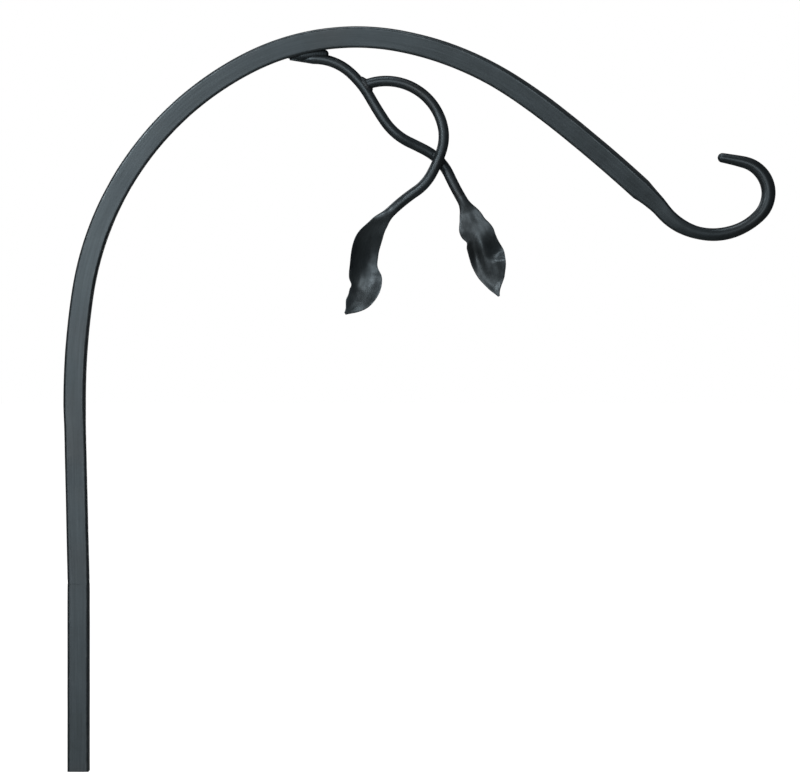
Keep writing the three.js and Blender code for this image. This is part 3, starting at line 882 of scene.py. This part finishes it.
@dataclass
class CrookBar:
    """The square bar that springs from the joint, runs over the arc and is drawn out into the hook."""

    sizes: JointSizes
    finish: bpy.types.Material
    sweep: bpy.types.NodeTree
    lean: float = 91.3
    bar_stretches: tuple[Stretch, ...] = (
        Stretch(100.0), Stretch.arc(430, -10), Stretch.arc(186, -54.5), Stretch.arc(142, -37.5),
        Stretch.arc(188, -22.5), Stretch.arc(360, -5), Stretch.arc(900, -5))
    hook_stretches: tuple[Stretch, ...] = (
        Stretch.arc(45, -8), Stretch.arc(39, 96.5), Stretch.arc(19, 121), Stretch.arc(170, 5.5))
    shoulder_before_hook: float = 11.5
    neck_taper: float = 17.0
    softening: float = 75.0
    hook_diameters: tuple[float, ...] = (10.7, 9.6, 7.9, 7.8, 7.4, 8.3, 8.5, 7.1, 5.6)
    twists: tuple[tuple[float, float], ...] = (
        (0, 1.5), (92, 2.5), (108, -0.5), (190, 1), (250, 3.2), (330, 4.8), (430, 6.5), (490, 9), (550, 12),
        (612, 12), (650, 4))
    step: float = 1.0
    first_step: float = 0.4
    tip_turns: tuple[float, float] = (0.12, 1.45)
    tip_rings: int = 12
    neck_above: float = 1.6
    neck_below: float = 2.6
    square_cut: float = 0.05

    def __post_init__(self) -> None:
        """Lay out the centre line."""
        self.line = CentreLine(0.0, self.sizes.height, self.lean, self.bar_stretches + self.hook_stretches)
        self.hook_start = sum(stretch.length for stretch in self.bar_stretches)
        self.shoulder = self.hook_start - self.shoulder_before_hook

    def twist(self, distance: float) -> float:
        """Give the degrees that the outer face turns to the front at a distance."""
        for (start, before), (end, after) in zip(self.twists, self.twists[1:]):
            if distance < end:
                return before + (after - before) * smoothstep((distance - start) / (end - start))
        return self.twists[-1][1]

    def underside(self, distance: float) -> float:
        """Give the distance from the bar's middle to its lower side at a place on the line."""
        flat = self.sizes.bar / 2 - self.sizes.bar_edge
        angle = math.radians(self.twist(distance))
        return flat * (math.cos(angle) + abs(math.sin(angle))) + self.sizes.bar_edge

    def girth(self, distance: float) -> float:
        """Give the radius of the round hook at a distance."""
        share = (distance - self.hook_start) / (self.line.length - self.hook_start)
        return smooth_list(self.hook_diameters, share) / 2

    def build(self) -> None:
        """Build the bar with its hook and hand it over."""
        bar = SweptBar("crook_with_hook", self.finish, self.sizes.bar, self.sizes.bar_edge, seed=4.0)
        tip = self.hook_diameters[-1] / 2
        square_end = self.line.length - tip
        turns = np.linspace(*self.tip_turns, self.tip_rings)
        marks = [0.0, *np.linspace(self.first_step, square_end, int(square_end / self.step)),
                 *(square_end + tip * math.sin(turn) for turn in turns)]
        for mark in marks:
            share = min(max((mark - self.shoulder) / self.neck_taper, 0.0), 1.0)
            past = max((mark - square_end) / tip, 0.0)
            cap = math.sqrt(1 - past * past)
            soft = smoothstep((mark - self.shoulder) / self.softening)
            girth = self.girth(mark) * (1 - self.square_cut * (1 - soft))
            half_depth = girth + (self.sizes.bar / 2 - girth) * (1 - soft)
            bar.stations.append(Station(
                self.line.frame(mark), mark, self.twist(mark), cap, girth * cap, half_depth * cap,
                1 - (1 - share) ** self.neck_above, 1 - (1 - share) ** self.neck_below, soft,
                smoothstep(mark / HAMMER_FADE)))
        item = bar.build(self.sweep)
        self.level_foot(item)
        sink_bore(item, self.sizes.height, self.sizes.height + self.sizes.pin_in_crook + self.sizes.clearance,
                  self.sizes.bore / 2)
        hand_over(item, Body.CROOK, "crook_bar")

    def level_foot(self, item: bpy.types.Object) -> None:
        """Level the bar's sawn end, which stands flat on the pole although the bar leans."""
        along = item.data.attributes["along"].data
        for vert, distance in zip(item.data.vertices, along):
            if distance.value < SAME_PLACE:
                vert.co.z = self.sizes.height * MM


@dataclass(frozen=True)
class Dent:
    """A blow of the hammer that raises the blade, or lowers it where its height is negative.

    The place is a share of the leaf's length and of its half width: the left edge is at 1, the right at -1.
    The blow fades over one reach before its place, over another after it, and over a third across.
    """

    share: float
    across: float
    before: float
    after: float
    wide: float
    height: float

    def lift(self, share: float, across: np.ndarray) -> np.ndarray:
        """Give how far the blade is raised, in millimetres.

        Args:
            share: share of the leaf's length.
            across: shares of its half width.

        Returns:
            The height at each place across.
        """
        reach = self.before if share < self.share else self.after
        along = math.exp(-((share - self.share) / reach) ** 2)
        return self.height * along * np.exp(-((across - self.across) / self.wide) ** 2)


@dataclass(frozen=True)
class Notch:
    """A dip, or a lobe where its cut is negative, in one edge of a leaf."""

    share: float
    reach: float
    cut: float
    on_left: bool


@dataclass(frozen=True)
class LeafShape:
    """Sizes of a leaf, each list evenly spaced from neck to tip."""

    rib: tuple[Stretch, ...]
    left: tuple[float, ...]
    right: tuple[float, ...]
    roll: tuple[float, ...]
    hollow: tuple[float, ...]
    ridge: tuple[float, ...]
    depth: tuple[float, ...]
    notches: tuple[Notch, ...]
    dents: tuple[Dent, ...]

    def half_widths(self, share: float) -> tuple[float, float]:
        """Give the half widths to the left and right of the rib at a share of the length."""
        widths = [smooth_list(self.left, share), smooth_list(self.right, share)]
        for notch in self.notches:
            side = 0 if notch.on_left else 1
            widths[side] -= notch.cut * math.exp(-((share - notch.share) / notch.reach) ** 2)
        return widths[0], widths[1]


RIGHT_LEAF = LeafShape(
    rib=(Stretch(18, -8), Stretch(22, -4), Stretch(13, -2), Stretch(11, 14)),
    left=(3.2, 6, 9.2, 10.4, 11.6, 8.2, 0.6), right=(3.2, 6, 8.4, 9.2, 9.4, 6.6, 0.6),
    roll=(0, 1, 2, 4, 8, 8, 4), hollow=(0, 0.2, 0.4, 1.1, 1.6, 1.0, 0),
    ridge=(0, 0.1, 0.2, 1.4, 1.6, 0.5, 0), depth=(0, -0.6, -1.5, -1.2, 0.6, 1.6, 1),
    notches=(Notch(0.30, 0.09, -1.7, False), Notch(0.425, 0.035, 1.3, False), Notch(0.27, 0.04, 0.5, True),
             Notch(0.38, 0.05, -0.5, True), Notch(0.80, 0.06, 0.4, True), Notch(0.86, 0.05, 0.6, False)),
    dents=(Dent(0.60, 1.0, 0.13, 0.035, 0.55, -4.4), Dent(0.69, 0.9, 0.045, 0.13, 0.5, 2.0),
           Dent(0.55, -0.55, 0.12, 0.10, 0.32, -1.9), Dent(0.30, -0.8, 0.08, 0.06, 0.5, 0.8),
           Dent(0.24, 0.35, 0.05, 0.05, 0.3, -0.35), Dent(0.88, 0.0, 0.08, 0.06, 0.5, -0.6)))
LEFT_LEAF = LeafShape(
    rib=(Stretch(12, 4), Stretch(26, 46), Stretch(8, 0), Stretch(27, -62)),
    left=(3.2, 5.6, 9.2, 9.4, 10, 7.6, 0.6), right=(3.2, 5.6, 9.4, 9.8, 9.8, 7.4, 0.6),
    roll=(0, -14, -32, -28, 0, 10, 6), hollow=(0, 1.0, 2.6, 3.4, 3.2, 2.2, 0),
    ridge=(0, 0, 0.2, 0.2, 0.2, 0.2, 0), depth=(0, 1.2, 3.4, 4.6, 4, 1.6, -1.2),
    notches=(Notch(0.72, 0.045, 1.1, False), Notch(0.92, 0.06, -2.3, False), Notch(0.22, 0.06, 0.8, False),
             Notch(0.56, 0.06, 1.6, True), Notch(0.72, 0.06, -0.3, True)),
    dents=(Dent(0.14, -0.4, 0.05, 0.04, 0.6, 0.9), Dent(0.74, -0.7, 0.07, 0.06, 0.5, -0.9),
           Dent(0.66, 0.9, 0.06, 0.16, 0.6, 1.0)))


@dataclass
class Vine:
    """The forked vine of round rod under the arc, with a leaf beaten out at each of its ends."""

    crook: CrookBar
    rod_finish: bpy.types.Material
    leaf_finish: bpy.types.Material
    sweep: bpy.types.NodeTree
    rod: float = 6.4
    start: float = 375.5
    scarf_length: float = 14.0
    scarf_tip: float = 0.8
    scarf_drop: float = 14.7
    stem: tuple[Stretch, ...] = (
        Stretch(13.7, -1), Stretch(25, -44), Stretch(19, -18), Stretch(16, 4), Stretch(21, 32),
        Stretch(10, -3), Stretch(21, -38), Stretch(15, 5))
    fork_at: float = 49.0
    fork_angle: float = 68.0
    branch: tuple[Stretch, ...] = (
        Stretch(57, -94), Stretch(14, -29), Stretch(16, -12), Stretch(14, -27), Stretch(17, 9))
    cross_reach: float = 34.0
    weld_throat: float = 0.9
    leaf_thickness: float = 1.6
    leaf_spread: float = 12.0
    leaf_step: float = 0.4
    leaf_points: int = 160
    edge_fullness: float = 0.6
    rib_sharpness: float = 8.0
    beaten_depth: float = 0.16
    beaten_widths: tuple[float, float] = (6.0, 2.6)
    rubbed_from: float = 0.93
    rubbed_width: float = 0.06
    crossing_guess: tuple[float, float] = (0.8, 0.65)
    neck_fade: float = 4.0
    neck_lap: float = 0.8
    neck_inset: float = 0.3
    branch_lap: float = 2.2
    step: float = 0.6

    def __post_init__(self) -> None:
        """Lay out the two centre lines, and bend them apart where they cross."""
        clearance = self.crook.sizes.clearance
        anchor = self.crook.line.frame(self.start)
        drop = self.crook.underside(self.start) + clearance + self.scarf_tip / 2
        begin = anchor.offset(left=-drop)
        heading = self.crook.line.planar(self.start)[2] - self.scarf_drop
        flat_stem = CentreLine(begin[0], begin[2], heading, self.stem)
        angle = math.radians(self.fork_angle)
        reach = (self.rod / 2 + clearance + self.rod / 2 * math.cos(angle)) / math.sin(angle)
        fork_x, fork_z, fork_heading = flat_stem.planar(self.fork_at)
        away = fork_heading + self.fork_angle
        flat_branch = CentreLine(fork_x + reach * math.cos(math.radians(away)),
                                 fork_z + reach * math.sin(math.radians(away)), away, self.branch)
        self.cross_stem, self.cross_branch = self.crossing(flat_stem, flat_branch)
        depth = (self.rod + self.weld_throat) / 2
        self.stem_line = self.bent(flat_stem, self.cross_stem, depth)
        self.branch_line = self.bent(flat_branch, self.cross_branch, -depth)

    def crossing(self, first: CentreLine, second: CentreLine) -> tuple[float, float]:
        """Find where two flat lines cross, by a search whose step is halved.

        Args:
            first: one line.
            second: the other line.

        Returns:
            The distance along each line.
        """
        best = [first.length * self.crossing_guess[0], second.length * self.crossing_guess[1]]
        step, smallest_step = 8.0, 0.005
        while step > smallest_step:
            moved = True
            while moved:
                moved = False
                for change in ((step, 0), (-step, 0), (0, step), (0, -step)):
                    trial = [best[0] + change[0], best[1] + change[1]]
                    gap = np.linalg.norm(first.point(trial[0]) - second.point(trial[1]))
                    if gap < np.linalg.norm(first.point(best[0]) - second.point(best[1])):
                        best, moved = trial, True
            step /= 2
        return best[0], best[1]

    def bent(self, line: CentreLine, crossing: float, depth: float) -> CentreLine:
        """Bend a line out of its plane around its crossing.

        Args:
            line: the flat line.
            crossing: distance along it to the crossing.
            depth: how far it lies behind the plane there.

        Returns:
            The bent line.
        """
        return CentreLine(line.x, line.z, line.heading, line.stretches, lambda distance: (
            depth * smoothstep(1 - abs(distance - crossing) / self.cross_reach)))

    def build(self) -> None:
        """Build the rods and the leaves, and hand them over."""
        stem = SweptBar("stem_rod", self.rod_finish, self.rod, self.rod / 4, 0.1, 9.0, 11.0)
        self.add_rod(stem, self.stem_line, 0.0)
        hand_over(stem.build(self.sweep), Body.CROOK, "vine_stem")
        branch = SweptBar("branch_rod", self.rod_finish, self.rod, self.rod / 4, 0.1, 9.0, 17.0)
        self.add_rod(branch, self.branch_line, -self.branch_lap)
        hand_over(branch.build(self.sweep), Body.CROOK, "vine_branch")
        for name, line, shape, node in (("right_leaf", self.stem_line, RIGHT_LEAF, "leaf_right"),
                                        ("left_leaf", self.branch_line, LEFT_LEAF, "leaf_left")):
            item = self.leaf(name, line, shape)
            hand_over(item, Body.CROOK, node)

    def add_rod(self, bar: SweptBar, line: CentreLine, begin: float) -> None:
        """Add a rod's stations, from a distance along its line to the neck of its leaf.

        Args:
            bar: the sweep that gets them.
            line: the rod's centre line.
            begin: distance along the line to the first station.
        """
        for mark in np.linspace(begin, line.length, int((line.length - begin) / self.step)):
            diameter = self.rod
            if line is self.stem_line:
                diameter = self.scarf_tip + (self.rod - self.scarf_tip) * min(mark / self.scarf_length, 1.0)
            steady = smoothstep((line.length - mark) / self.neck_fade)
            bar.stations.append(Station.of_rod(line.frame(mark), mark, diameter / 2, steady))
        end = line.length + self.neck_lap
        bar.stations.append(Station.of_rod(line.frame(end), end, self.rod / 2 - self.neck_inset, 0.0))

    def leaf(self, name: str, line: CentreLine, shape: LeafShape) -> bpy.types.Object:
        """Beat a leaf out of the end of a rod.

        Args:
            name: the leaf's name.
            line: the rod's centre line, which ends at the leaf's neck.
            shape: the leaf's sizes.

        Returns:
            The leaf.
        """
        x, z, heading = line.planar(line.length)
        length = sum(stretch.length for stretch in shape.rib)
        rib = CentreLine(x, z, heading, shape.rib, lambda distance: (
            line.depth(line.length + distance) + smooth_list(shape.depth, distance / length)))
        angles = (np.arange(self.leaf_points) + 0.5) * 2 * math.pi / self.leaf_points
        across = np.cos(angles)
        lift = np.sign(np.sin(angles)) * np.abs(np.sin(angles)) ** self.edge_fullness
        rings, worn, spaces = [], [], []
        for mark in np.linspace(0.0, length, int(length / self.leaf_step)):
            share = mark / length
            place = rib.frame(mark)
            left, right = shape.half_widths(share)
            roll = math.radians(smooth_list(shape.roll, share))
            u = across * np.where(across > 0, left, right)
            v = (lift * self.leaf_thickness / 2 - smooth_list(shape.hollow, share) * (1 - across ** 2)
                 + smooth_list(shape.ridge, share) * np.exp(-self.rib_sharpness * across ** 2)
                 + sum(dent.lift(share, across) for dent in shape.dents))
            ru, rv = u * math.cos(roll) - v * math.sin(roll), u * math.sin(roll) + v * math.cos(roll)
            spread = smoothstep(mark / self.leaf_spread)
            ru = self.rod / 2 * np.cos(angles) * (1 - spread) + ru * spread
            rv = self.rod / 2 * np.sin(angles) * (1 - spread) + rv * spread
            ring = place.origin + np.outer(ru, place.left) + np.outer(rv, place.front)
            waves = np.array([self.beaten(point) for point in ring])
            rings.append(ring + np.outer(waves * spread, place.front))
            rim = (np.abs(across) - self.rubbed_from) / self.rubbed_width
            worn.append(spread * np.clip(rim, 0, 1))
            along = np.full(self.leaf_points, line.length + mark)
            spaces.append(np.column_stack([along, ru, rv]) * MM)
        return skin(name, rings, {"worn": worn, "bar_space": spaces}, self.leaf_finish)

    def beaten(self, point: np.ndarray) -> float:
        """Give how far the hammer's faint marks raise the blade at a point."""
        broad, fine = (noise.noise(Vector(point / width)) for width in self.beaten_widths)
        return self.beaten_depth * (broad + 0.4 * fine)


@dataclass(frozen=True)
class BeadShape:
    """Where a bead lies along the stem, how it swells, and how its puddles lie.

    Its marks are distances from its place on the stem, and its radii run along, up and across the bead.
    """

    name: str
    node: str
    place: float
    begin: float
    end: float
    middle: float
    half_length: float
    radii: tuple[float, float, float]
    lift: float = 0.0
    rise: float = 0.0
    thin_start: bool = False
    in_plane: bool = False

    def swell(self, mark: float) -> float:
        """Give the share of its full size that the bead has at a mark."""
        least, first, full_after = 0.05, 0.25, 10.0
        share = math.sqrt(max(1 - ((mark - self.middle) / self.half_length) ** 2, least))
        return share * min(1.0, first + mark / full_after) if self.thin_start else share


@dataclass
class Welds:
    """The three beads that hold the vine: under the arc, in the fork and between the crossing rods."""

    vine: Vine
    finish: bpy.types.Material
    bead: bpy.types.NodeTree
    voxel: float = 0.3
    ripple: float = 1.3
    segments: int = 32
    settling: int = 6

    def build(self) -> None:
        """Build the beads and hand them over."""
        for shape in (
                BeadShape("arc_bead", "arc_weld", 0.0, 1.0, 20.6, 10.0, 14.5, (2.4, 3.7, 3.5), lift=1.2,
                          rise=0.11, thin_start=True),
                BeadShape("fork_bead", "fork_weld", self.vine.fork_at, -2.4, 4.9, 1.2, 5.4, (2.4, 3.0, 3.5),
                          lift=1.9),
                BeadShape("crossing_bead", "crossing_weld", self.vine.cross_stem, -3.6, 3.7, 0.0, 4.6,
                          (1.6, 3.6, 2.6), in_plane=True)):
            hand_over(self.lay(shape), Body.CROOK, shape.node)

    def lay(self, shape: BeadShape) -> bpy.types.Object:
        """Lay puddles of weld metal along the stem and let them flow into one bead.

        Args:
            shape: the bead's shape.

        Returns:
            The bead.
        """
        middles, turns, sizes = [], [], []
        for mark in np.arange(shape.begin, shape.end, self.ripple):
            place = self.vine.stem_line.frame(shape.place + mark)
            middle = place.offset(left=shape.lift + shape.rise * mark)
            if shape.in_plane:
                middle[1] = 0.0
            swell = shape.swell(mark)
            middles.append(middle)
            turns.append(self.euler(np.column_stack([place.along, place.left, -place.front])))
            sizes.append(np.array(shape.radii) * (1.0, swell, swell) * MM)
        item = line_object(shape.name, middles, {}, {"turn": turns, "puddle": sizes})
        grow(item, self.bead, {"Segments": self.segments, "Material": self.finish})
        melt = item.modifiers.new("melt", "REMESH")
        melt.mode = "VOXEL"
        melt.voxel_size = self.voxel * MM
        melt.use_smooth_shade = True
        settle = item.modifiers.new("settle", "SMOOTH")
        settle.factor = 0.5
        settle.iterations = self.settling
        bake_modifiers(item)
        item.data.materials.clear()
        item.data.materials.append(self.finish)
        face_outwards(item)
        return item

    def euler(self, axes: np.ndarray) -> np.ndarray:
        """Turn three axes, as columns, into Euler angles in XYZ order."""
        y = math.asin(-max(min(axes[2, 0], 1.0), -1.0))
        return np.array([math.atan2(axes[2, 1], axes[2, 2]), y, math.atan2(axes[1, 0], axes[0, 0])])


# ---- Stage ----


@dataclass(frozen=True)
class SoftBox:
    """A soft studio light."""

    name: str
    place: tuple[float, float, float]
    target: tuple[float, float, float]
    width: float
    power: float

    def build(self) -> None:
        """Hang the light and aim it."""
        data = bpy.data.lights.new(self.name, "AREA")
        data.shape = "RECTANGLE"
        data.size = self.width
        data.size_y = self.width
        data.energy = self.power
        light = bpy.data.objects.new(self.name, data)
        light.location = self.place
        light.visible_camera = False
        light.rotation_euler = (Vector(self.target) - Vector(self.place)).to_track_quat("-Z", "Y").to_euler()
        bpy.context.scene.collection.objects.link(light)


LIGHTS = (
    SoftBox("key", (-0.125, -0.453, 0.505), (0.1, 0.0, 0.36), 0.15, 0.85),
    SoftBox("front", (0.0, -2.7, 0.5), (0.1, 0.0, 0.3), 0.5, 9.2),
    SoftBox("top", (0.1, -0.3, 1.5), (0.15, 0.0, 0.3), 0.6, 4.0),
    SoftBox("low", (-0.1, -0.7, 0.1), (0.0, 0.0, 0.06), 0.2, 0.2),
    SoftBox("back", (-0.35, 0.5, 0.8), (0.15, 0.0, 0.25), 0.3, 1.2),
    SoftBox("rear", (-0.3, 2.4, 0.1), (0.15, 0.0, 0.25), 0.8, 6.0))


@dataclass
class Studio:
    """The pale floor, the lights and the camera."""

    middle: tuple[float, float] = (0.1928, 0.2289)
    view_width: float = 0.48
    distance: float = 2.4
    sensor: float = 36.0
    floor_reach: float = 60.0
    fill: float = 0.1
    white: tuple[float, float, float, float] = (1.0, 1.0, 1.0, 1.0)

    def build(self) -> None:
        """Build the stage."""
        self.camera()
        self.floor()
        self.surroundings()
        for light in LIGHTS:
            light.build()
        bpy.context.scene.view_settings.view_transform = "Standard"

    def camera(self) -> None:
        """Stand the camera level in front of the crook."""
        data = bpy.data.cameras.new("camera")
        data.sensor_width = self.sensor
        data.lens = self.sensor * self.distance / self.view_width
        item = bpy.data.objects.new("camera", data)
        item.location = (self.middle[0], -self.distance, self.middle[1])
        item.rotation_euler = (math.radians(90), 0.0, 0.0)
        bpy.context.scene.collection.objects.link(item)
        bpy.context.scene.camera = item

    def floor(self) -> None:
        """Lay the pale floor."""
        reach = self.floor_reach
        mesh = bpy.data.meshes.new("floor")
        mesh.from_pydata([(-reach, -reach, 0), (reach, -reach, 0), (reach, reach, 0), (-reach, reach, 0)],
                         [], [(0, 1, 2, 3)])
        material, wire = blank_material("white_paper")
        paper = wire.out("ShaderNodeBsdfDiffuse", {}, {"Color": linear("#9a9a98")})
        glow = wire.out("ShaderNodeEmission", {}, {"Color": self.white, "Strength": 1.0})
        lit = wire.out("ShaderNodeAddShader", {}, {0: paper, 1: glow})
        seen = self.for_camera(wire, paper, lit)
        add_node(wire.tree, "ShaderNodeOutputMaterial", {}, {"Surface": seen})
        mesh.materials.append(material)
        item = bpy.data.objects.new("floor", mesh)
        bpy.context.scene.collection.objects.link(item)

    def surroundings(self) -> None:
        """Fill the room with weak light, and show it white."""
        world = bpy.data.worlds.new("studio")
        world.use_nodes = True
        world.node_tree.nodes.clear()
        wire = Wiring(world.node_tree)
        fill = wire.out("ShaderNodeBackground", {}, {"Color": linear("#e8eef2"), "Strength": self.fill})
        white = wire.out("ShaderNodeBackground", {}, {"Color": self.white, "Strength": 1.0})
        add_node(wire.tree, "ShaderNodeOutputWorld", {}, {"Surface": self.for_camera(wire, fill, white)})
        bpy.context.scene.world = world

    def for_camera(self, wire: Wiring, usual: bpy.types.NodeSocket,
                   seen: bpy.types.NodeSocket) -> bpy.types.NodeSocket:
        """Use one shader for what the camera sees and the usual one for the light that is passed on."""
        path = add_node(wire.tree, "ShaderNodeLightPath").outputs["Is Camera Ray"]
        return wire.out("ShaderNodeMixShader", {}, {0: path, 1: usual, 2: seen})


def main() -> None:
    """Build the crook, piece by piece, on its stage."""
    logging.basicConfig(level=logging.INFO, format="%(name)s: %(message)s")
    Studio().build()
    sizes = JointSizes()
    sweep = forged_sweep()
    bar_paint = SatinForgePaint("satin_paint_on_forged_bar").build()
    rod_paint = SatinForgePaint("satin_paint_on_vine_rod", mottle_mm=11.0, streak_length_mm=18.0).build()
    leaf_paint = SatinForgePaint("satin_paint_on_beaten_leaf", deep="#4d5559", light="#5b6469",
                                 roughness=0.42, peel_depth_mm=0.004, streak_length_mm=9.0).build()
    # The weld paint's deep and light colours are darker than the bar's. This darkness is painted shade for
    # the bar's shadow over the arc bead and the recesses around the beads. The rougher finish and coarser
    # peel are the weld metal's own.
    weld_paint_with_painted_shade = SatinForgePaint("weld_paint_darkened_as_painted_shade", deep="#353c40", light="#434b4f", roughness=0.5,
                                 peel_mm=0.9, peel_depth_mm=0.03, mottle_mm=7.0).build()
    Pole(sizes, bar_paint, sweep).build()
    JointPin(sizes, TurnedSteel().build()).build()
    crook = CrookBar(sizes, bar_paint, sweep)
    crook.build()
    vine = Vine(crook, rod_paint, leaf_paint, sweep)
    vine.build()
    Welds(vine, weld_paint_with_painted_shade, ripple_bead()).build()


if __name__ == "__main__":
    main()
